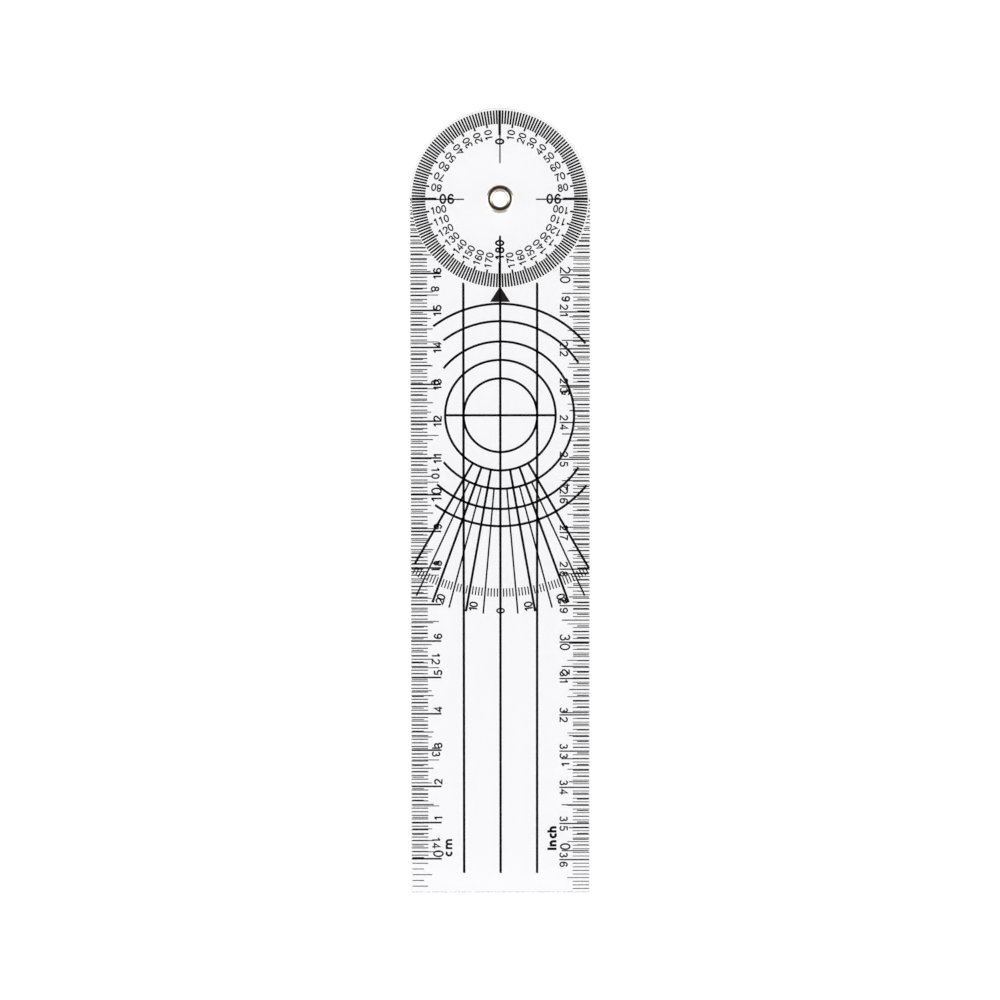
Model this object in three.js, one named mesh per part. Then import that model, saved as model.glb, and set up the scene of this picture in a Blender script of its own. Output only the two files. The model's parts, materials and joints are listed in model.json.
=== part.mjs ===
// A folding two-arm goniometer: two identical clear plastic rulers with round heads, one on
// the other, turning about a hollow metal eyelet that is clinched over a washer at the back.
// Millimetres, +Z up. It lies flat and folded, heads towards +Y and square feet towards -Y.
// The origin is at the middle of its length and width, on the plane that it rests on.

import * as THREE from "three";

// Arms
const ARM_WIDTH = 49;
const ARM_REACH = 189.4; // from the pivot to the square foot
const SHEET = 1; // thickness of one arm
const SHEET_GAP = 0.12; // running gap between the arms
const SEAT_GAP = 0.05; // between the arms, the washer and the eyelet's lips

// Eyelet and washer, both turned about the pivot's axis
const BORE_RADIUS = 2.03;
const METAL = 0.3; // thickness of the eyelet's wall
const FLANGE_RADIUS = 3.85; // outer edge of the domed front flange
const FLANGE_RISE = 0.85; // its crest above the front arm
const CURL_RADIUS = 3.45; // outer edge of the curl at the back
const CURL_DROP = 0.65; // its lowest ring below the washer
const WASHER_RADIUS = 3.8;
const WASHER = 0.3;
const WASHER_EDGE = 0.08; // chamfer on its outer rims
const SHAFT_CLEARANCE = 0.08; // round the eyelet's barrel, in both arms and in the washer

// Facets
const HALF_ARC_STEPS = 32; // in half of an arm's rounded outline or of its hole
const TURN_STEPS = 48; // round a turned piece
const PROFILE_STEPS = 8; // along one rounded stretch of a turned profile

// Worked out from the above
const HEAD_RADIUS = ARM_WIDTH / 2;
const PIVOT_Y = (ARM_REACH - HEAD_RADIUS) / 2;
const HOLE_RADIUS = BORE_RADIUS + METAL + SHAFT_CLEARANCE;
const WASHER_BOTTOM = CURL_DROP + SEAT_GAP;
const REAR_BOTTOM = WASHER_BOTTOM + WASHER + SEAT_GAP;
const FRONT_BOTTOM = REAR_BOTTOM + SHEET + SHEET_GAP;
const FLANGE_BOTTOM = FRONT_BOTTOM + SHEET + SEAT_GAP;

function clearPlastic() {
  return new THREE.MeshStandardMaterial({
    color: 0xf7f7fa,
    roughness: 0.08,
    metalness: 0,
    transparent: true,
    opacity: 0.3,
  });
}

function nickelPlate() {
  return new THREE.MeshStandardMaterial({ color: 0xb9b0a6, roughness: 0.22, metalness: 1 });
}

// One flat arm about its pivot: a half-round head, straight sides and a square foot.
function arm(name, bottom) {
  const outline = new THREE.Shape();
  outline.moveTo(-HEAD_RADIUS, -ARM_REACH);
  outline.lineTo(HEAD_RADIUS, -ARM_REACH);
  outline.absarc(0, 0, HEAD_RADIUS, 0, Math.PI);
  outline.closePath();
  const hole = new THREE.Path();
  hole.absarc(0, 0, HOLE_RADIUS, 0, 2 * Math.PI, true);
  outline.holes.push(hole);
  const geometry = new THREE.ExtrudeGeometry(outline, {
    depth: SHEET,
    bevelEnabled: false,
    curveSegments: HALF_ARC_STEPS,
  });
  const mesh = new THREE.Mesh(geometry, clearPlastic());
  mesh.name = name;
  mesh.position.set(0, PIVOT_Y, bottom);
  return mesh;
}

// Points of radius and height along an ellipse's arc.
function arcPoints(radius, height, halfWidth, halfHeight, from, to) {
  const arc = new THREE.EllipseCurve(radius, height, halfWidth, halfHeight, from, to, from > to);
  return arc.getPoints(PROFILE_STEPS);
}

// A closed profile of radius and height, turned about the pivot.
function turned(name, profile) {
  const geometry = new THREE.LatheGeometry([...profile, profile[0].clone()], TURN_STEPS);
  geometry.rotateX(Math.PI / 2);
  const mesh = new THREE.Mesh(geometry, nickelPlate());
  mesh.name = name;
  mesh.position.set(0, PIVOT_Y, 0);
  return mesh;
}

// One piece of tube: domed out over the front arm, straight through, and curled out at the back.
function eyelet(name) {
  const domeHalf = (FLANGE_RADIUS - BORE_RADIUS) / 2;
  const domeMiddle = BORE_RADIUS + domeHalf;
  const curlHalf = (CURL_RADIUS - BORE_RADIUS) / 2;
  const curlMiddle = BORE_RADIUS + curlHalf;
  const domeRise = FLANGE_RISE - METAL;
  const curlRise = CURL_DROP - METAL;
  return turned(name, [
    ...arcPoints(domeMiddle, FLANGE_BOTTOM, domeHalf, FLANGE_RISE, 0, Math.PI),
    ...arcPoints(curlMiddle, CURL_DROP, curlHalf, CURL_DROP, Math.PI, 2 * Math.PI),
    ...arcPoints(curlMiddle, CURL_DROP, curlHalf - METAL, curlRise, 2 * Math.PI, Math.PI),
    ...arcPoints(domeMiddle, FLANGE_BOTTOM, domeHalf - METAL, domeRise, Math.PI, 0),
  ]);
}

// A flat ring between the rear arm and the curl.
function washer(name) {
  const top = WASHER_BOTTOM + WASHER;
  return turned(name, [
    new THREE.Vector2(HOLE_RADIUS, WASHER_BOTTOM),
    new THREE.Vector2(WASHER_RADIUS - WASHER_EDGE, WASHER_BOTTOM),
    new THREE.Vector2(WASHER_RADIUS, WASHER_BOTTOM + WASHER_EDGE),
    new THREE.Vector2(WASHER_RADIUS, top - WASHER_EDGE),
    new THREE.Vector2(WASHER_RADIUS - WASHER_EDGE, top),
    new THREE.Vector2(HOLE_RADIUS, top),
  ]);
}

const group = new THREE.Group();
group.add(arm("front_arm", FRONT_BOTTOM));
group.add(arm("rear_arm", REAR_BOTTOM));
group.add(eyelet("pivot_eyelet"));
group.add(washer("eyelet_washer"));

export default group;
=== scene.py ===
"""The looks of a folding two-arm goniometer: clear sheets, printed scales, a nickel eyelet.

The printed scales are laid out in millimetres about the pivot, +y towards the round heads,
and raised a few hundredths of a millimetre off the sheets that carry them.
"""

import json
import math

import bpy
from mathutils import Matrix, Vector
from mathutils.geometry import delaunay_2d_cdt, tessellate_polygon


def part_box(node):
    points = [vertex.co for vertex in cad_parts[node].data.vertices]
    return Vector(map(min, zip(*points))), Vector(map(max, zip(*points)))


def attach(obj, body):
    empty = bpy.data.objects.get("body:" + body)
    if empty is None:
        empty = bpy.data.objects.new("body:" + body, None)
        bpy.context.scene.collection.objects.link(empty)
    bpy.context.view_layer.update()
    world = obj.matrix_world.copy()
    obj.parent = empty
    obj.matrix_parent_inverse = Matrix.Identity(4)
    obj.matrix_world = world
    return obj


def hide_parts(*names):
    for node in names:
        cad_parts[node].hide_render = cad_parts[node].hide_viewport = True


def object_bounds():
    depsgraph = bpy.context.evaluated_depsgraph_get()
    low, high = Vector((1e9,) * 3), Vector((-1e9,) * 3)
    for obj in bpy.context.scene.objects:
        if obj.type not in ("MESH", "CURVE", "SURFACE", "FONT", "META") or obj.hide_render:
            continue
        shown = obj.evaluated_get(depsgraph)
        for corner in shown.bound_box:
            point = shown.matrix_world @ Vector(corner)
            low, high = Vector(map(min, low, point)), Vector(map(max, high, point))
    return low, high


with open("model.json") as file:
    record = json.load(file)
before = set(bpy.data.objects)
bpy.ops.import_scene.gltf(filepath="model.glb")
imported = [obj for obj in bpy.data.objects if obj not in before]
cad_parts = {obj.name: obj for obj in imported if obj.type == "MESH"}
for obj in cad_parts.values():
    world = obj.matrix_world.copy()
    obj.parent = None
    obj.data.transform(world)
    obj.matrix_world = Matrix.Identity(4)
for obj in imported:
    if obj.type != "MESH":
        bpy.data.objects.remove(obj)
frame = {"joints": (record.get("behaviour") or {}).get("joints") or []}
cad_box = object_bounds()

MM = 0.001
FRONT, REAR = "dial_arm", "pointer_arm"

front_low, front_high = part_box("front_arm")
rear_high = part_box("rear_arm")[1]
eyelet_low, eyelet_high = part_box("pivot_eyelet")
washer_low, washer_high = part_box("eyelet_washer")
pivot = Vector(frame["joints"][0]["pos_m"])

HEAD_RADIUS = (front_high.x - front_low.x) / 2 / MM
REACH = (pivot.y - front_low.y) / MM  # from the pivot to the square foot
HOLE_RADIUS = 2.41  # of both arms and the washer
TURN = 2 * math.pi

# ---------------------------------------------------------------- camera and studio

CAMERA_DISTANCE = 0.8
CAMERA_LENS = 105.46
CAMERA_TILT = math.radians(3.687)  # leaning towards the heads
CAMERA_ROLL = math.radians(-0.0425)
CAMERA_AIM = Vector((-0.00002, 0.00079, 0))
SENSOR_WIDTH = 36

FLOOR_HALF = 6.0
FLOOR_DROP = 0.0001  # below the part
FLOOR_GREY = 0.25
FLOOR_GLOW = 0.99

WORLD_STRENGTH = 1.5
CEILING_MIDDLE = (-0.06, 0.32, 0.945)
CEILING_EDGE = (0.72, 0.93)  # how squarely a direction faces the ceiling's middle
CEILING_LEVEL = 0.02
FAR_WALL_EDGE = (0.1, 0.5)  # along y
FAR_WALL_LEVEL = 0.12
SIDE_BOX_EDGE = (0.4, 0.62)  # along x, both ways
BETWEEN_BOXES_LEVEL = 0.34
SHADE_COLOUR = (0.02, 0.009, 0.004, 1)
LIGHT_COLOUR = (1, 0.985, 0.965, 1)


def add_camera():
    data = bpy.data.cameras.new("camera")
    data.lens = CAMERA_LENS
    data.sensor_width = SENSOR_WIDTH
    data.clip_start = 0.05
    data.clip_end = 50
    camera = bpy.data.objects.new("camera", data)
    back = Vector((0, math.sin(CAMERA_TILT), math.cos(CAMERA_TILT)))
    camera.location = CAMERA_AIM + CAMERA_DISTANCE * back
    camera.rotation_euler = (-CAMERA_TILT, 0, CAMERA_ROLL)
    bpy.context.scene.collection.objects.link(camera)
    bpy.context.scene.camera = camera


def link_all(tree, pairs):
    for source, target in pairs:
        tree.links.new(source, target)


def map_range(tree, value, low, high, to_low, to_high):
    """A value eased from one range to another."""
    node = tree.nodes.new("ShaderNodeMapRange")
    node.interpolation_type = "SMOOTHSTEP"
    tree.links.new(value, node.inputs["Value"])
    node.inputs["From Min"].default_value = low
    node.inputs["From Max"].default_value = high
    node.inputs["To Min"].default_value = to_low
    node.inputs["To Max"].default_value = to_high
    return node.outputs["Result"]


def maths(tree, operation, first, second):
    """One step of arithmetic on two values, each a number or a node's output."""
    node = tree.nodes.new("ShaderNodeMath")
    node.operation = operation
    for socket, value in zip(node.inputs, (first, second)):
        if isinstance(value, (int, float)):
            socket.default_value = value
        else:
            tree.links.new(value, socket)
    return node.outputs["Value"]


def studio_world():
    """White boxes left and right, a duller wall between, and dark above and beyond the heads.

    The camera itself sees plain white wherever the floor ends.
    """
    world = bpy.data.worlds.new("studio")
    bpy.context.scene.world = world
    world.use_nodes = True
    tree = world.node_tree
    direction = tree.nodes.new("ShaderNodeTexCoord").outputs["Generated"]
    split = tree.nodes.new("ShaderNodeSeparateXYZ")
    facing = tree.nodes.new("ShaderNodeVectorMath")
    facing.operation = "DOT_PRODUCT"
    facing.inputs[1].default_value = CEILING_MIDDLE
    link_all(tree, [(direction, split.inputs["Vector"]), (direction, facing.inputs[0])])
    sideways = maths(tree, "ABSOLUTE", split.outputs["X"], 0)
    ceiling = map_range(tree, facing.outputs["Value"], *CEILING_EDGE, 1.0, CEILING_LEVEL)
    far_wall = map_range(tree, split.outputs["Y"], *FAR_WALL_EDGE, 1.0, FAR_WALL_LEVEL)
    side_box = map_range(tree, sideways, *SIDE_BOX_EDGE, BETWEEN_BOXES_LEVEL, 1.0)
    level = maths(tree, "MULTIPLY", maths(tree, "MULTIPLY", ceiling, far_wall), side_box)
    tint = tree.nodes.new("ShaderNodeValToRGB")
    tint.color_ramp.elements[0].color = SHADE_COLOUR
    tint.color_ramp.elements[1].color = LIGHT_COLOUR
    seen = tree.nodes.new("ShaderNodeMix")
    seen.data_type = "RGBA"
    seen.inputs["B"].default_value = (1, 1, 1, 1)
    to_camera = tree.nodes.new("ShaderNodeLightPath").outputs["Is Camera Ray"]
    background = tree.nodes["Background"]
    background.inputs["Strength"].default_value = WORLD_STRENGTH
    link_all(
        tree,
        [
            (level, tint.inputs["Fac"]),
            (tint.outputs["Color"], seen.inputs["A"]),
            (to_camera, seen.inputs["Factor"]),
            (seen.outputs["Result"], background.inputs["Color"]),
        ],
    )


def studio_floor():
    """A white floor that mostly glows, so that only a faint shadow falls on it."""
    mesh = bpy.data.meshes.new("floor")
    corners = [(-1, -1), (1, -1), (1, 1), (-1, 1)]
    height = cad_box[0].z - FLOOR_DROP
    mesh.from_pydata(
        [(FLOOR_HALF * x, FLOOR_HALF * y, height) for x, y in corners],
        [],
        [(0, 1, 2, 3)],
    )
    floor = bpy.data.objects.new("floor", mesh)
    bpy.context.scene.collection.objects.link(floor)
    material = bpy.data.materials.new("floor")
    material.use_nodes = True
    shader = material.node_tree.nodes["Principled BSDF"]
    shader.inputs["Base Color"].default_value = (FLOOR_GREY, FLOOR_GREY, FLOOR_GREY, 1)
    shader.inputs["Roughness"].default_value = 0.9
    shader.inputs["Specular IOR Level"].default_value = 0.0
    shader.inputs["Emission Color"].default_value = (1, 1, 1, 1)
    shader.inputs["Emission Strength"].default_value = FLOOR_GLOW
    mesh.materials.append(material)


add_camera()
studio_world()
studio_floor()
bpy.context.scene.view_settings.view_transform = "Standard"

# ---------------------------------------------------------------- materials

NOISE_LOW, NOISE_HIGH = 0.3, 0.7  # most of a noise lies between these
SHEET_COLOUR = (0.99, 0.991, 1.0, 1)
SHEET_IOR = 1.5
SHEET_ROUGHNESS = (0.0, 0.05)
RIM_COLOUR = (0.985, 0.988, 0.995, 1)
RIM_CLEARNESS = 0.65
RIM_IOR = 1.3
RIM_ROUGHNESS = (0.2, 0.45)
PASSING_COLOUR = (0.985, 0.985, 0.99, 1)
INK_ROUGHNESS = (0.3, 0.5)
DARK_NICKEL, LIGHT_NICKEL = (0.80, 0.76, 0.71), (0.92, 0.89, 0.85)
NICKEL_ROUGHNESS = (0.1, 0.24)

# Noises over the pieces: how fine, and the share of that along x, y and z.
STREAKS = (900, (1, 0.06, 1))
STREAK_PEAKS = (0.55, 0.8)  # only these show
RIPPLE = (60, (1, 0.5, 1), 1.0)  # the last is its detail
CUT_LINES = (2500, (1, 1, 0.05))
GRAIN = (4000, (1, 1, 1))
MARKS = (1500, (1, 1, 1))
DRAW_LINES = (700, (1, 1, 8))

# Depths of relief, in metres.
RIPPLE_DEPTH = 0.00004
CUT_DEPTH = 0.00003
GRAIN_DEPTH = 0.000004
DRAW_DEPTH = 0.00001


def new_material(name):
    material = bpy.data.materials.new(name)
    material.use_nodes = True
    tree = material.node_tree
    return material, tree, tree.nodes["Principled BSDF"]


def object_noise(tree, scale, stretch, detail=3.0):
    """A noise's value over the object's own coordinates, in metres."""
    place = tree.nodes.new("ShaderNodeTexCoord").outputs["Object"]
    mapping = tree.nodes.new("ShaderNodeMapping")
    mapping.inputs["Scale"].default_value = stretch
    noise = tree.nodes.new("ShaderNodeTexNoise")
    noise.inputs["Scale"].default_value = scale
    noise.inputs["Detail"].default_value = detail
    tree.links.new(place, mapping.inputs["Vector"])
    tree.links.new(mapping.outputs["Vector"], noise.inputs["Vector"])
    return noise.outputs["Fac"]


def bump(tree, height, depth):
    """A normal that follows a noise as if it were relief."""
    node = tree.nodes.new("ShaderNodeBump")
    node.inputs["Strength"].default_value = 1.0
    node.inputs["Distance"].default_value = depth
    tree.links.new(height, node.inputs["Height"])
    return node.outputs["Normal"]


def colour_between(tree, factor, first, second):
    """A colour running from the first to the second as a noise rises."""
    ramp = tree.nodes.new("ShaderNodeValToRGB")
    ramp.color_ramp.elements[0].position = NOISE_LOW
    ramp.color_ramp.elements[1].position = NOISE_HIGH
    ramp.color_ramp.elements[0].color = (*first, 1)
    ramp.color_ramp.elements[1].color = (*second, 1)
    tree.links.new(factor, ramp.inputs["Fac"])
    return ramp.outputs["Color"]


def let_light_through(tree, shader):
    """Lamps and bounced light pass straight through, so clear plastic leaves no dark shadow."""
    path = tree.nodes.new("ShaderNodeLightPath")
    clear = tree.nodes.new("ShaderNodeBsdfTransparent")
    clear.inputs["Color"].default_value = PASSING_COLOUR
    mix = tree.nodes.new("ShaderNodeMixShader")
    passing = maths(tree, "MAXIMUM", path.outputs["Is Shadow Ray"], path.outputs["Is Diffuse Ray"])
    output = tree.nodes["Material Output"]
    link_all(
        tree,
        [
            (passing, mix.inputs[0]),
            (shader.outputs[0], mix.inputs[1]),
            (clear.outputs[0], mix.inputs[2]),
            (mix.outputs[0], output.inputs["Surface"]),
        ],
    )


def clear_plastic():
    """Polished clear sheet: faint rubbed streaks along its length and a slight ripple."""
    material, tree, shader = new_material("clear_plastic")
    shader.inputs["Base Color"].default_value = SHEET_COLOUR
    shader.inputs["Transmission Weight"].default_value = 1.0
    shader.inputs["IOR"].default_value = SHEET_IOR
    streaks = object_noise(tree, *STREAKS)
    ripple = object_noise(tree, *RIPPLE)
    roughness = map_range(tree, streaks, *STREAK_PEAKS, *SHEET_ROUGHNESS)
    link_all(
        tree,
        [
            (roughness, shader.inputs["Roughness"]),
            (bump(tree, ripple, RIPPLE_DEPTH), shader.inputs["Normal"]),
        ],
    )
    let_light_through(tree, shader)
    return material


def cut_edge():
    """The sheet's die-cut rim: the same plastic, whitened, with fine lines down the cut."""
    material, tree, shader = new_material("cut_edge")
    shader.inputs["Base Color"].default_value = RIM_COLOUR
    shader.inputs["Transmission Weight"].default_value = RIM_CLEARNESS
    shader.inputs["IOR"].default_value = RIM_IOR
    lines = object_noise(tree, *CUT_LINES)
    roughness = map_range(tree, lines, NOISE_LOW, NOISE_HIGH, *RIM_ROUGHNESS)
    link_all(
        tree,
        [
            (roughness, shader.inputs["Roughness"]),
            (bump(tree, lines, CUT_DEPTH), shader.inputs["Normal"]),
        ],
    )
    let_light_through(tree, shader)
    return material


def printed_ink(name, thick, thin):
    """Screen-printed ink: satin, a little uneven in thickness."""
    material, tree, shader = new_material(name)
    shader.inputs["Specular IOR Level"].default_value = 0.2
    grain = object_noise(tree, *GRAIN)
    roughness = map_range(tree, grain, NOISE_LOW, NOISE_HIGH, *INK_ROUGHNESS)
    link_all(
        tree,
        [
            (colour_between(tree, grain, thick, thin), shader.inputs["Base Color"]),
            (roughness, shader.inputs["Roughness"]),
            (bump(tree, grain, GRAIN_DEPTH), shader.inputs["Normal"]),
        ],
    )
    return material


def nickel_plate():
    """Bright plated metal with handling marks and faint draw lines."""
    material, tree, shader = new_material("nickel_plate")
    shader.inputs["Metallic"].default_value = 1.0
    marks = object_noise(tree, *MARKS)
    drawn = object_noise(tree, *DRAW_LINES)
    roughness = map_range(tree, marks, NOISE_LOW, NOISE_HIGH, *NICKEL_ROUGHNESS)
    link_all(
        tree,
        [
            (colour_between(tree, marks, DARK_NICKEL, LIGHT_NICKEL), shader.inputs["Base Color"]),
            (roughness, shader.inputs["Roughness"]),
            (bump(tree, drawn, DRAW_DEPTH), shader.inputs["Normal"]),
        ],
    )
    return material


PLASTIC = clear_plastic()
CUT_EDGE = cut_edge()
INK = printed_ink("black_ink", (0.002, 0.002, 0.002), (0.007, 0.006, 0.007))
GREY_INK = printed_ink("grey_ink", (0.02, 0.019, 0.021), (0.032, 0.03, 0.033))
NICKEL = nickel_plate()

# ---------------------------------------------------------------- solid pieces


def make_piece(name, vertices, faces, materials, body):
    """A mesh in the row's frame that rides on a body."""
    mesh = bpy.data.meshes.new(name)
    mesh.from_pydata(vertices, [], faces)
    for material in materials:
        mesh.materials.append(material)
    piece = bpy.data.objects.new(name, mesh)
    bpy.context.scene.collection.objects.link(piece)
    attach(piece, body)
    return piece


def smooth(piece, sharp_angle):
    """Smooth shading, but for the edges sharper than an angle."""
    piece.data.polygons.foreach_set("use_smooth", [True] * len(piece.data.polygons))
    piece.data.set_sharp_from_angle(angle=sharp_angle)


EDGE_RADIUS = 0.05  # eased rims of the sheets
EDGE_STEPS = 3
HEAD_STEPS = 180
HOLE_STEPS = 96


def arm_outline(inset):
    """The arm's outline about its pivot, moved in from the rim."""
    radius = HEAD_RADIUS - inset
    foot = -REACH + inset
    head = [math.pi * step / HEAD_STEPS for step in range(HEAD_STEPS + 1)]
    round_head = [(radius * math.cos(a), radius * math.sin(a)) for a in head]
    return [(-radius, foot), (radius, foot), *round_head]


def hole_outline(inset):
    turns = [-TURN * step / HOLE_STEPS for step in range(HOLE_STEPS)]
    radius = HOLE_RADIUS + inset
    return [(radius * math.cos(a), radius * math.sin(a)) for a in turns]


def rim_profile(bottom, top):
    """(height, inset) up a rim whose two corners are rounded."""
    quarter = [math.pi / 2 * step / EDGE_STEPS for step in range(EDGE_STEPS + 1)]
    lower = [
        (bottom + EDGE_RADIUS * (1 - math.sin(a)), EDGE_RADIUS * (1 - math.cos(a)))
        for a in reversed(quarter)
    ]
    upper = [
        (top - EDGE_RADIUS * (1 - math.sin(a)), EDGE_RADIUS * (1 - math.cos(a)))
        for a in quarter
    ]
    return lower + upper


def loft(rings, base=0, closed=False):
    """Quadrilaterals joining rings of equal counts, numbered from base."""
    count = len(rings[0])
    faces = []
    for row in range(len(rings) if closed else len(rings) - 1):
        lower = base + row * count
        upper = base + (row + 1) % len(rings) * count
        for i in range(count):
            j = (i + 1) % count
            faces.append((lower + i, lower + j, upper + j, upper + i))
    return faces


def sheet(name, node, body):
    """One clear arm with eased rims, which have a material of their own."""
    low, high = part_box(node)
    profile = rim_profile(low.z / MM, high.z / MM)
    vertices, faces, bottom, top = [], [], [], []
    for outline in (arm_outline, hole_outline):
        base = len(vertices)
        rings = [
            [(x * MM, pivot.y + y * MM, height * MM) for x, y in outline(inset)]
            for height, inset in profile
        ]
        faces += loft(rings, base)
        for ring in rings:
            vertices += ring
        count = len(rings[0])
        bottom += range(base, base + count)
        top += range(len(vertices) - count, len(vertices))
    rim_count = len(faces)
    inset = profile[0][1]
    loops = [
        [Vector((x, y, 0)) for x, y in arm_outline(inset)],
        [Vector((x, y, 0)) for x, y in hole_outline(inset)],
    ]
    for triangle in tessellate_polygon(loops):
        faces.append(tuple(top[i] for i in triangle))
        faces.append(tuple(bottom[i] for i in reversed(triangle)))
    piece = make_piece(name, vertices, faces, [PLASTIC, CUT_EDGE], body)
    for polygon in piece.data.polygons[:rim_count]:
        polygon.material_index = 1
        polygon.use_smooth = True  # the faces stay flat, so that they don't bend what is under them
    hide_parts(node)
    return piece


TURN_STEPS = 144
ROUND_STEPS = 20
END_STEPS = 6
WASHER_STEPS = 8
SHARP_ANGLE = math.radians(40)


def arc(centre, radii, start, end, steps):
    """Points along an ellipse's arc."""
    angles = [start + (end - start) * step / steps for step in range(steps + 1)]
    return [
        (centre[0] + radii[0] * math.cos(a), centre[1] + radii[1] * math.sin(a)) for a in angles
    ]


def turned(name, profile, body, node):
    """A closed profile of (radius, height) in millimetres, turned about the pivot."""
    turns = [TURN * step / TURN_STEPS for step in range(TURN_STEPS)]
    rings = [
        [
            (pivot.x + radius * MM * math.cos(a), pivot.y + radius * MM * math.sin(a), height * MM)
            for a in turns
        ]
        for radius, height in profile
    ]
    vertices = [vertex for ring in rings for vertex in ring]
    piece = make_piece(name, vertices, loft(rings, closed=True), [NICKEL], body)
    smooth(piece, SHARP_ANGLE)
    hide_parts(node)
    return piece


# Radii of the eyelet, and the thickness of its wall.
BORE = 2.03
FLANGE = 3.85
CURL = 3.45
METAL = 0.3
SEAT = 0.03  # between its lips and what they are clinched on
WASHER_FLAT = 0.01  # half the height of the washer's outer edge that isn't rounded


def offset_side(path, distance):
    """The path moved sideways, to the left of its own direction."""
    moved = []
    for i, point in enumerate(path):
        before = Vector(path[max(i - 1, 0)])
        after = Vector(path[min(i + 1, len(path) - 1)])
        along = (after - before).normalized()
        moved.append((point[0] - along.y * distance, point[1] + along.x * distance))
    return moved


def eyelet():
    """Domed flange in front, barrel through both sheets, rolled curl at the back."""
    half = METAL / 2
    face = front_high.z / MM
    crest = eyelet_high.z / MM
    back = washer_low.z / MM
    lowest = eyelet_low.z / MM
    flange_middle = (BORE + FLANGE) / 2
    curl_middle = (BORE + CURL) / 2
    lip = face + half + SEAT
    flange = ((FLANGE - BORE) / 2 - half, crest - lip - half)
    back_lip = back - half - SEAT
    curl = ((CURL - BORE) / 2 - half, back_lip - lowest - half)
    path = [
        *arc((flange_middle, lip), flange, 0, math.pi, ROUND_STEPS),
        *arc((curl_middle, back_lip), curl, math.pi, TURN, ROUND_STEPS),
    ]
    left = offset_side(path, half)
    right = offset_side(path, -half)
    front_end = arc(path[0], (half, half), 0, -math.pi, END_STEPS)[1:-1]
    back_end = arc(path[-1], (half, half), 0, math.pi, END_STEPS)[1:-1]
    profile = [*right, *back_end, *reversed(left), *reversed(front_end)]
    return turned("nickel_eyelet", profile, FRONT, "pivot_eyelet")


def washer():
    """A flat ring under the curl, rounded at its outer edge."""
    outer = (washer_high.x - washer_low.x) / 2 / MM
    bottom, top = washer_low.z / MM, washer_high.z / MM
    round_off = (top - bottom) / 2 - WASHER_FLAT
    middle = (top + bottom) / 2
    centre = (outer - round_off, middle)
    radii = (round_off, middle - bottom)
    profile = [
        (HOLE_RADIUS, top),
        (HOLE_RADIUS, bottom),
        *arc(centre, radii, -math.pi / 2, math.pi / 2, WASHER_STEPS),
    ]
    return turned("nickel_washer", profile, FRONT, "eyelet_washer")


sheet("clear_front_sheet", "front_arm", FRONT)
sheet("clear_rear_sheet", "rear_arm", REAR)
eyelet()
washer()

# ---------------------------------------------------------------- ink

INK_LIFT = 0.004
INK_THICKNESS = 0.02
MERGE = 1e-5  # points closer than this become one
SHARPEST_MITRE = 0.5  # limits how far a stroke's corner sticks out


def ribbon(points, weight, closed=False):
    """Quadrilaterals of an even-width stroke along points."""
    count = len(points)
    sides = []
    for i in range(count):
        here = Vector(points[i])
        before = Vector(points[i - 1]) if closed or i > 0 else None
        after = Vector(points[(i + 1) % count]) if closed or i < count - 1 else None
        into = (here - before).normalized() if before else (after - here).normalized()
        out = (after - here).normalized() if after else into
        bisector = (into + out).normalized()
        half_width = weight / 2 / max(bisector.dot(out), SHARPEST_MITRE)
        across = Vector((-bisector.y, bisector.x)) * half_width
        sides.append((here + across, here - across))
    last = count if closed else count - 1
    return [
        [sides[i][1], sides[(i + 1) % count][1], sides[(i + 1) % count][0], sides[i][0]]
        for i in range(last)
    ]


def flatten(polygons):
    """Overlapping polygons as one flat shape: its points and its triangles."""
    corners, faces = [], []
    for polygon in polygons:
        faces.append(list(range(len(corners), len(corners) + len(polygon))))
        corners.extend(Vector(p) for p in polygon)
    points, _, triangles, _, _, sources = delaunay_2d_cdt(corners, [], faces, 1, MERGE)
    kept = []
    for triangle, source in zip(triangles, sources):
        if not source:  # it lies outside every polygon
            continue
        a, b, c = (points[i] for i in triangle)
        turns_left = (b - a).cross(c - a) > 0
        kept.append(tuple(triangle) if turns_left else tuple(reversed(triangle)))
    return [tuple(p) for p in points], kept


def placed(flat, at, angle=0.0):
    """A flat shape turned about its own origin, then moved there."""
    cosine, sine = math.cos(angle), math.sin(angle)
    points = [
        (at[0] + x * cosine - y * sine, at[1] + x * sine + y * cosine) for x, y in flat[0]
    ]
    return points, flat[1]


def ink(name, flats, body, shift=(0, 0), material=INK):
    """Flat shapes raised off the face of the arm that carries them, as one piece."""
    face = (front_high if body == FRONT else rear_high).z / MM
    low = (face + INK_LIFT) * MM
    high = low + INK_THICKNESS * MM
    vertices, faces = [], []
    for points, triangles in flats:
        base, count = len(vertices), len(points)
        for height in (low, high):
            vertices += [
                ((x + shift[0]) * MM, pivot.y + (y + shift[1]) * MM, height) for x, y in points
            ]
        edges = {(t[i], t[(i + 1) % 3]) for t in triangles for i in range(3)}
        for t in triangles:
            faces.append(tuple(base + count + i for i in t))
            faces.append(tuple(base + i for i in reversed(t)))
        for a, b in sorted(edges):
            if (b, a) not in edges:
                faces.append((base + a, base + b, base + count + b, base + count + a))
    return make_piece(name, vertices, faces, [material], body)


def bar(start, end, weight):
    """One straight line of ink."""
    return flatten(ribbon([start, end], weight))


def polar(radius, angle, centre=(0, 0)):
    """The point at a distance and an angle from a centre."""
    return centre[0] + radius * math.cos(angle), centre[1] + radius * math.sin(angle)


# ---------------------------------------------------------------- figures and letters

CURVE_STEPS = 14


def bowl(centre, radii, start, end):
    """Part of a rounded stroke, between angles in degrees."""
    return arc(centre, radii, math.radians(start), math.radians(end), CURVE_STEPS)


def loop(centre, radii):
    """A whole rounded stroke, without its last point, which is its first."""
    return arc(centre, radii, 0, TURN, 2 * CURVE_STEPS)[:-1]


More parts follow.
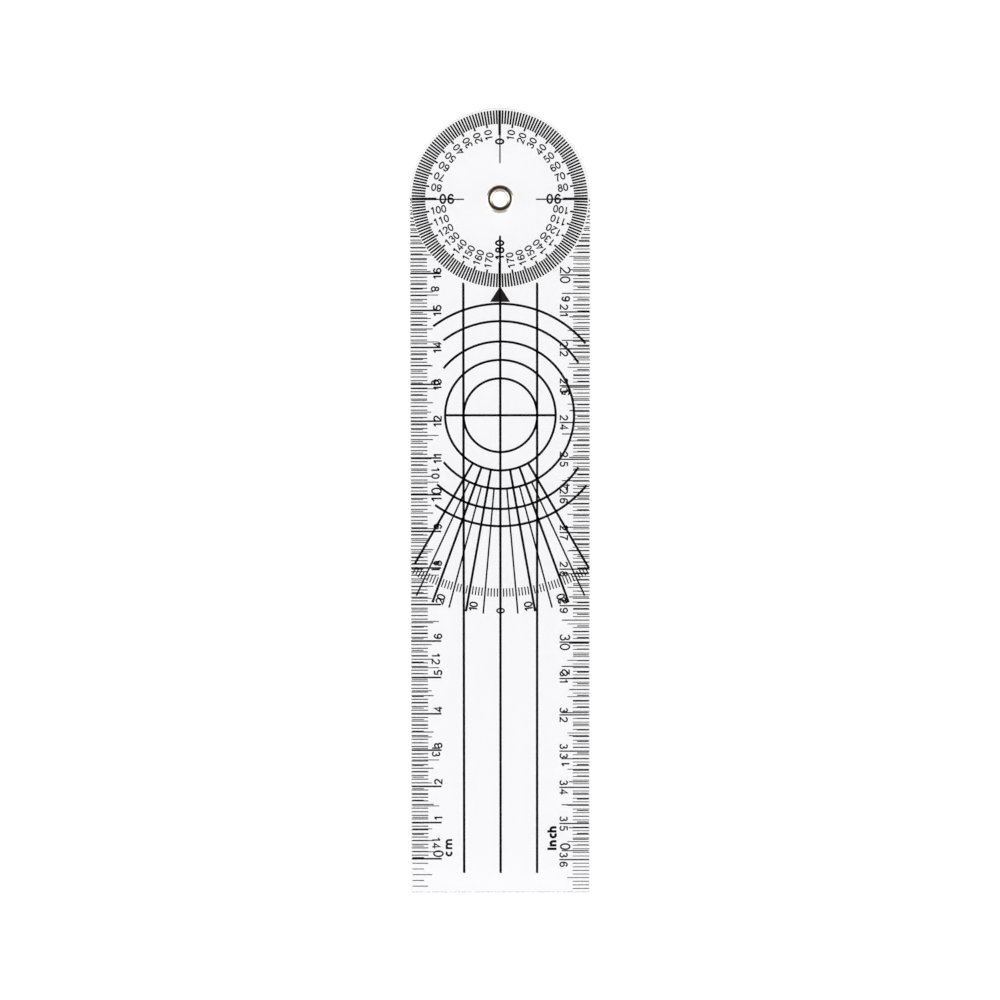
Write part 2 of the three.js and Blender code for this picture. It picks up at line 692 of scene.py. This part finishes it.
def figure_strokes():
    """Each character's strokes, as (points, closed), with x about 0 and y from 0 to 1."""
    zero = [(loop((0, 0.5), (0.26, 0.44)), True)]
    one = [([(0.06, 0), (0.06, 1)], False), ([(-0.22, 0.74), (-0.06, 0.83), (0.06, 0.98)], False)]
    neck = bowl((0.0, 0.69), (0.26, 0.25), 175, -30)
    two = [([*neck, (0.02, 0.33), (-0.26, 0.06), (0.30, 0.06)], False)]
    three = [
        (bowl((-0.01, 0.735), (0.215, 0.205), 165, -95), False),
        (bowl((-0.01, 0.295), (0.26, 0.235), 95, -165), False),
    ]
    four = [([(0.11, 0), (0.11, 0.97), (-0.30, 0.29), (0.32, 0.29)], False)]
    belly = bowl((-0.005, 0.325), (0.265, 0.265), 125, -160)
    five = [([(0.25, 0.94), (-0.15, 0.94), (-0.21, 0.49), *belly], False)]
    six = [
        (loop((0.005, 0.31), (0.255, 0.25)), True),
        (bowl((0.02, 0.5), (0.27, 0.44), 35, 195)[::-1], False),
    ]
    seven = [([(-0.28, 0.94), (0.28, 0.94), (0.10, 0.68), (-0.04, 0.34), (-0.09, 0)], False)]
    eight = [
        (loop((0, 0.735), (0.205, 0.205)), True),
        (loop((0, 0.295), (0.26, 0.235)), True),
    ]
    nine = [([(-x, 1 - y) for x, y in points], closed) for points, closed in six]
    tall_i = [([(0, 0), (0, 1)], False)]
    arch = [(-0.22, 0.36), *bowl((0, 0.36), (0.22, 0.27), 180, 0), (0.22, 0)]
    small_n = [([(-0.22, 0), (-0.22, 0.72)], False), (arch, False)]
    small_h = [([(-0.22, 0), (-0.22, 1)], False), (arch, False)]
    small_c = [(bowl((0.02, 0.36), (0.25, 0.27), 50, 310), False)]
    first_arch = [(-0.45, 0.36), *bowl((-0.225, 0.36), (0.225, 0.27), 180, 0), (0, 0)]
    second_arch = [(0, 0.36), *bowl((0.225, 0.36), (0.225, 0.27), 180, 0), (0.45, 0)]
    small_m = [([(-0.45, 0), (-0.45, 0.72)], False), (first_arch, False), (second_arch, False)]
    figures = (zero, one, two, three, four, five, six, seven, eight, nine)
    letters = {"I": tall_i, "n": small_n, "c": small_c, "h": small_h, "m": small_m}
    return {**{str(value): strokes for value, strokes in enumerate(figures)}, **letters}


STROKES = figure_strokes()
PITCH = 0.77  # between the middles of two figures, for a height of 1


def figure(character, height, weight):
    """One character as a flat shape, its middle at the origin."""
    quads = []
    for points, closed in STROKES[character]:
        sized = [(x * height, (y - 0.5) * height) for x, y in points]
        quads += ribbon(sized, weight, closed)
    return flatten(quads)


def line_of_text(text, at, direction, height, weight, pitch=PITCH):
    """Characters whose middles run through a point, in a direction."""
    flats = []
    for i, character in enumerate(text):
        along = (i - (len(text) - 1) / 2) * pitch * height
        spot = polar(along, direction, at)
        flats.append(placed(figure(character, height, weight), spot, direction))
    return flats


UPWARD, DOWNWARD = math.pi / 2, -math.pi / 2

# ---------------------------------------------------------------- dial

DIAL_OUTER = 23.8
DIAL_INNER = 20.12
TEN_INNER = 19.3  # of every tenth degree
CROSS_INNER = 17.1  # of every ninetieth
DIAL_LINE = 0.475
CROSS_LINE = 0.7
DIAL_FIGURE = 2.0
DIAL_WEIGHT = 0.36
DIAL_PITCH = 0.74
TENS_RADIUS = 17.35  # of figures up to 80
HUNDREDS_RADIUS = 16.85  # of figures from 100
RIGHT_ANGLE_WEIGHT = 0.5
RIGHT_ANGLE_PITCH = 0.82
RIGHT_ANGLES = (  # text, middle, reading direction and height
    ("0", (0, 15.4), UPWARD, 2.35),
    ("180", (0, -13.8), UPWARD, 2.35),
    ("90", (-14.3, 0), math.pi, 2.6),
    ("90", (14.6, 0), math.pi, 2.6),
)
DIAL_SHIFT = (-0.08, 0.08)  # how far the dial's print lies off its pivot hole


def dial_ticks():
    """A line each 2 degrees, longer each 10, and the longest and heaviest each 90."""
    flats = []
    for degrees in range(0, 360, 2):
        angle = math.radians(degrees)
        if degrees % 90 == 0:
            inner, weight = CROSS_INNER, CROSS_LINE
        else:
            inner, weight = (DIAL_INNER if degrees % 10 else TEN_INNER), DIAL_LINE
        flats.append(bar(polar(inner, angle), polar(DIAL_OUTER, angle), weight))
    return flats


def dial_figures():
    """0 at the head, 180 towards the foot; the upper half reads outwards, the lower inwards."""
    flats = []
    for side in (-1, 1):
        for degrees in [*range(10, 90, 10), *range(100, 180, 10)]:
            ray = math.pi / 2 - side * math.radians(degrees)
            text = str(degrees)
            spot = polar(TENS_RADIUS if degrees < 90 else HUNDREDS_RADIUS, ray)
            reading = ray if degrees < 90 else ray + math.pi
            flats += line_of_text(text, spot, reading, DIAL_FIGURE, DIAL_WEIGHT, DIAL_PITCH)
    for text, spot, reading, height in RIGHT_ANGLES:
        flats += line_of_text(text, spot, reading, height, RIGHT_ANGLE_WEIGHT, RIGHT_ANGLE_PITCH)
    return flats


ink("dial_ticks", dial_ticks(), FRONT, DIAL_SHIFT)
ink("dial_figures", dial_figures(), FRONT, DIAL_SHIFT)

# ---------------------------------------------------------------- rulers along the edges

INCH = 25.4
PIVOT_CM, PIVOT_INCH = 18, 7  # where the front arm's rulers end and the rear arm's carry on
REAR_CM_END, REAR_INCH_END = 36.8, 14.375
DIAL_CLEAR = 23.95  # edge ticks stop at this radius

# The outer ends of the ticks, across the arms.
FRONT_CM_EDGE, FRONT_INCH_EDGE = -24.3, 24.15
REAR_CM_EDGE, REAR_INCH_EDGE = 24.27, -24.23

INCH_LINE = 0.3
CM_TICKS = ((10, 8.2, 0.46), (5, 6.05, 0.28), (1, 4.55, 0.28))  # every so many mm: length, width
INCH_TICKS = ((8, 7.4), (4, 5.4), (2, 4.3), (1, 3.2))  # every so many sixteenths: length


def edge_tick(outer, y, length, weight):
    """A tick from its outer end inwards, cut short where it would meet the dial."""
    side = math.copysign(1, outer)
    inner = abs(outer) - length
    if abs(y) < DIAL_CLEAR:
        inner = max(inner, math.sqrt(DIAL_CLEAR**2 - y**2))
    return bar((side * inner, y), (outer, y), weight)


def cm_ticks(outer, value_at, first, last, thin):
    """Millimetre ticks between two centimetre values; value_at gives a value's y."""
    flats = []
    for mm in range(round(first * 10), round(last * 10) + 1):
        length, weight = next(size for every, *size in CM_TICKS if mm % every == 0)
        flats.append(edge_tick(outer, value_at(mm / 10), length, weight * thin))
    return flats


def inch_ticks(outer, value_at, first, last, thin):
    """Sixteenths of an inch between two inch values."""
    flats = []
    for sixteenth in range(round(first * 16), round(last * 16) + 1):
        length = next(length for every, length in INCH_TICKS if sixteenth % every == 0)
        flats.append(edge_tick(outer, value_at(sixteenth / 16), length, INCH_LINE * thin))
    return flats


# Each of these gives the y of a value on one ruler.


def front_cm(value):
    return -(10 * PIVOT_CM - 10 * value)


def front_inch(value):
    return -INCH * (PIVOT_INCH - value)


def rear_cm(value):
    return -10 * (value - PIVOT_CM)


def rear_inch(value):
    return -INCH * (value - PIVOT_INCH)


RULER_FIGURE = 2.2
RULER_WEIGHT = 0.43
TEN_FIGURE = 2.85  # round tens, and the zeros at the foot


def front_cm_figures():
    """One figure stands past its line, two stand either side of it; the fan takes 7's place."""
    baseline = -15.9
    past_line = {1: 1.3, 2: -0.1}  # for one figure and for two
    zero_spot = (-17.0, front_cm(0) + 1.4)
    flats = []
    for value in (1, 2, 3, 4, 5, 6, 8, 9, 10, 11, 12, 13, 14, 15, 16):
        number = str(value)
        height = TEN_FIGURE if value == 10 else RULER_FIGURE
        spot = (baseline - height / 2, front_cm(value) + past_line[len(number)])
        flats += line_of_text(number, spot, UPWARD, height, RULER_WEIGHT)
    flats += line_of_text("0", zero_spot, UPWARD, TEN_FIGURE, RULER_WEIGHT)
    return flats


def front_inch_figures():
    """Each figure stands short of its line; the fan takes 3's place."""
    baseline = 18.9
    short_of_line = 1.5
    zero_spot = (17.75, front_inch(0) + 1.15)
    flats = []
    for value in (1, 2, 4, 5, 6):
        spot = (baseline - RULER_FIGURE / 2, front_inch(value) - short_of_line)
        flats += line_of_text(str(value), spot, UPWARD, RULER_FIGURE, RULER_WEIGHT)
    flats += line_of_text("0", zero_spot, UPWARD, TEN_FIGURE, RULER_WEIGHT)
    return flats


REAR_THIN = 0.8  # times the front ticks' width
REAR_WEIGHT = 0.4
REAR_FIGURE = 2.2
REAR_SHIFT = (0.08, -0.42)  # how far the rear print lies off its pivot hole


def rear_cm_figures():
    """Two figures stand well apart, either side of their line, and a second 1 is closer to it."""
    baseline = 16.15
    apart, closer = 1.3, 0.8
    flats = []
    for value in range(20, 37):
        height = REAR_FIGURE if value % 10 else TEN_FIGURE
        first, second = str(value)
        for character, past in ((first, -apart), (second, closer if second == "1" else apart)):
            spot = (baseline + height / 2, rear_cm(value) - past)
            flats += line_of_text(character, spot, DOWNWARD, height, REAR_WEIGHT)
    return flats


def rear_inch_figures():
    """Each number ends just short of its line, on the pivot's side."""
    baseline = -18.8
    pitch = 0.8
    short_of_line = 0.75
    flats = []
    for value in range(8, 15):
        number = str(value)
        y = rear_inch(value) + short_of_line + pitch / 2 * REAR_FIGURE * len(number)
        spot = (baseline + REAR_FIGURE / 2, y)
        flats += line_of_text(number, spot, DOWNWARD, REAR_FIGURE, REAR_WEIGHT, pitch)
    return flats


UNIT_HEIGHT = 2.5
UNIT_WORDS = (  # x and weight, then each letter and its y
    (-14.45, 0.56, (("c", -178.55), ("m", -175.95))),
    (14.1, 0.68, (("I", -177.27), ("n", -175.75), ("c", -173.5), ("h", -171.9))),
)


def unit_words():
    """Bold cm and Inch beside the zeros."""
    flats = []
    for x, weight, letters in UNIT_WORDS:
        for letter, y in letters:
            flats.append(placed(figure(letter, UNIT_HEIGHT, weight), (x, y), UPWARD))
    return flats


front_cm_ticks = cm_ticks(FRONT_CM_EDGE, front_cm, 0, PIVOT_CM, 1)
front_inch_ticks = inch_ticks(FRONT_INCH_EDGE, front_inch, 0, PIVOT_INCH, 1)
rear_cm_ticks = cm_ticks(REAR_CM_EDGE, rear_cm, PIVOT_CM, REAR_CM_END, REAR_THIN)
rear_inch_ticks = inch_ticks(REAR_INCH_EDGE, rear_inch, PIVOT_INCH, REAR_INCH_END, REAR_THIN)
ink("front_cm_ticks", front_cm_ticks, FRONT)
ink("front_cm_figures", front_cm_figures(), FRONT)
ink("front_inch_ticks", front_inch_ticks, FRONT)
ink("front_inch_figures", front_inch_figures(), FRONT)
ink("unit_words", unit_words(), FRONT)
ink("rear_cm_ticks", rear_cm_ticks, REAR, REAR_SHIFT)
ink("rear_cm_figures", rear_cm_figures(), REAR, REAR_SHIFT)
ink("rear_inch_ticks", rear_inch_ticks, REAR, REAR_SHIFT)
ink("rear_inch_figures", rear_inch_figures(), REAR, REAR_SHIFT)

# ---------------------------------------------------------------- guide lines, circles and fan

GUIDE_LINE = 0.58
GUIDE_SPREAD = 10  # from the middle line to the other two
GUIDE_TOP = -22.5
FRONT_MIDDLE_TOP = -10
GUIDE_END = -183.7

CIRCLE_CENTRE = (0.07, -58.4)
CIRCLE_LINE = 0.64
CIRCLE_STEP = 3  # degrees
DIAMETER_HALF = 15.1
CIRCLES = (  # radius, then the spans drawn, in degrees
    (10, ((0, 360),)),
    (15, ((0, 360),)),
    (20, ((-140.5, 140.5),)),
    (25.5, ((33.8, 127.3), (-132.6, -33.8))),
    (30.2, ((40.1, 127.0), (-126.1, -39.2))),
)

FAN_TENS = (15, CIRCLE_LINE)  # start and width of the lines at round tens
FAN_FIVES = (20, 0.45)
FAN_END = 54.3
FAN_SHORT_ENDS = {-30: 46.8, 30: 48.2}
FAN_TICKS = (47.2, 49.5)
FAN_TICK_LINE = 0.34
FAN_FIGURE = 2.25
FAN_PITCH = 0.53
FAN_TEXT_RADIUS = 52.7
FAN_ZERO_RADIUS = 53.3
FAN_TEXT_TURN = {-20: 1.9, -10: 1.9, 0: 0, 10: -1.7, 20: -1.7}  # degrees off their lines

CROSSHAIR_START, CROSSHAIR_END = 9.7, 18
CROSSHAIR_LINE = 0.36
POINTER_BASE, POINTER_TIP = -27.7, -23.4
POINTER_HALF = 2.74


def guide_lines(middle_top):
    """Three lines down an arm, the middle one starting at its own height."""
    flats = []
    for x, top in ((0, middle_top), (-GUIDE_SPREAD, GUIDE_TOP), (GUIDE_SPREAD, GUIDE_TOP)):
        flats.append(bar((x, top), (x, GUIDE_END), GUIDE_LINE))
    return flats


def circles():
    """Centring circles with a level diameter, the outer ones broken off clear of the rulers."""
    quads = []
    for radius, spans in CIRCLES:
        for start, end in spans:
            whole = end - start == 360
            steps = round((end - start) / CIRCLE_STEP)
            span = (math.radians(start), math.radians(end))
            points = arc(CIRCLE_CENTRE, (radius, radius), *span, steps)
            quads += ribbon(points[:-1] if whole else points, CIRCLE_LINE, whole)
    level = CIRCLE_CENTRE[1]
    quads += ribbon([(-DIAMETER_HALF, level), (DIAMETER_HALF, level)], CIRCLE_LINE)
    return [flatten(quads)]


def fan_ray(degrees):
    """The direction of a fan line, from straight down the arm."""
    return math.radians(degrees) - math.pi / 2


def fan_lines():
    """A line each 5 degrees, but for the middle, where the guide line runs."""
    flats = []
    for degrees in range(-30, 31, 5):
        if degrees == 0:
            continue
        start, weight = FAN_FIVES if degrees % 10 else FAN_TENS
        end = FAN_SHORT_ENDS.get(degrees, FAN_END)
        ray = fan_ray(degrees)
        flats.append(bar(polar(start, ray, CIRCLE_CENTRE), polar(end, ray, CIRCLE_CENTRE), weight))
    return flats


def fan_ticks():
    """A tick at each degree between the fan's lines."""
    flats = []
    for degrees in range(-29, 30):
        if degrees % 5:
            ends = [polar(radius, fan_ray(degrees), CIRCLE_CENTRE) for radius in FAN_TICKS]
            flats.append(bar(*ends, FAN_TICK_LINE))
    return flats


def fan_figures():
    """0, 10 and 20 each way, close set, on the middle's side of their lines."""
    flats = []
    for degrees in (-20, -10, 0, 10, 20):
        number = str(abs(degrees))
        ray = fan_ray(degrees + FAN_TEXT_TURN[degrees])
        spot = polar(FAN_TEXT_RADIUS if degrees else FAN_ZERO_RADIUS, ray, CIRCLE_CENTRE)
        flats += line_of_text(number, spot, ray + math.pi, FAN_FIGURE, RULER_WEIGHT, FAN_PITCH)
    return flats


def crosshair():
    """Four fine lines about the eyelet, seen through the dial."""
    flats = []
    for quarter in range(4):
        angle = quarter * math.pi / 2
        start, end = polar(CROSSHAIR_START, angle), polar(CROSSHAIR_END, angle)
        flats.append(bar(start, end, CROSSHAIR_LINE))
    return flats


def pointer():
    """A solid triangle whose tip touches the dial."""
    corners = [(-POINTER_HALF, POINTER_BASE), (POINTER_HALF, POINTER_BASE), (0, POINTER_TIP)]
    return [flatten([corners])]


ink("guide_lines", guide_lines(FRONT_MIDDLE_TOP), FRONT)
ink("centring_circles", circles(), FRONT)
ink("fan_lines", fan_lines(), FRONT)
ink("fan_ticks", fan_ticks(), FRONT)
ink("fan_figures", fan_figures(), FRONT)
ink("rear_guide_lines", guide_lines(-DIAL_OUTER), REAR, REAR_SHIFT)
ink("rear_crosshair", crosshair(), REAR)
ink("rear_pointer", pointer(), REAR, material=GREY_INK)
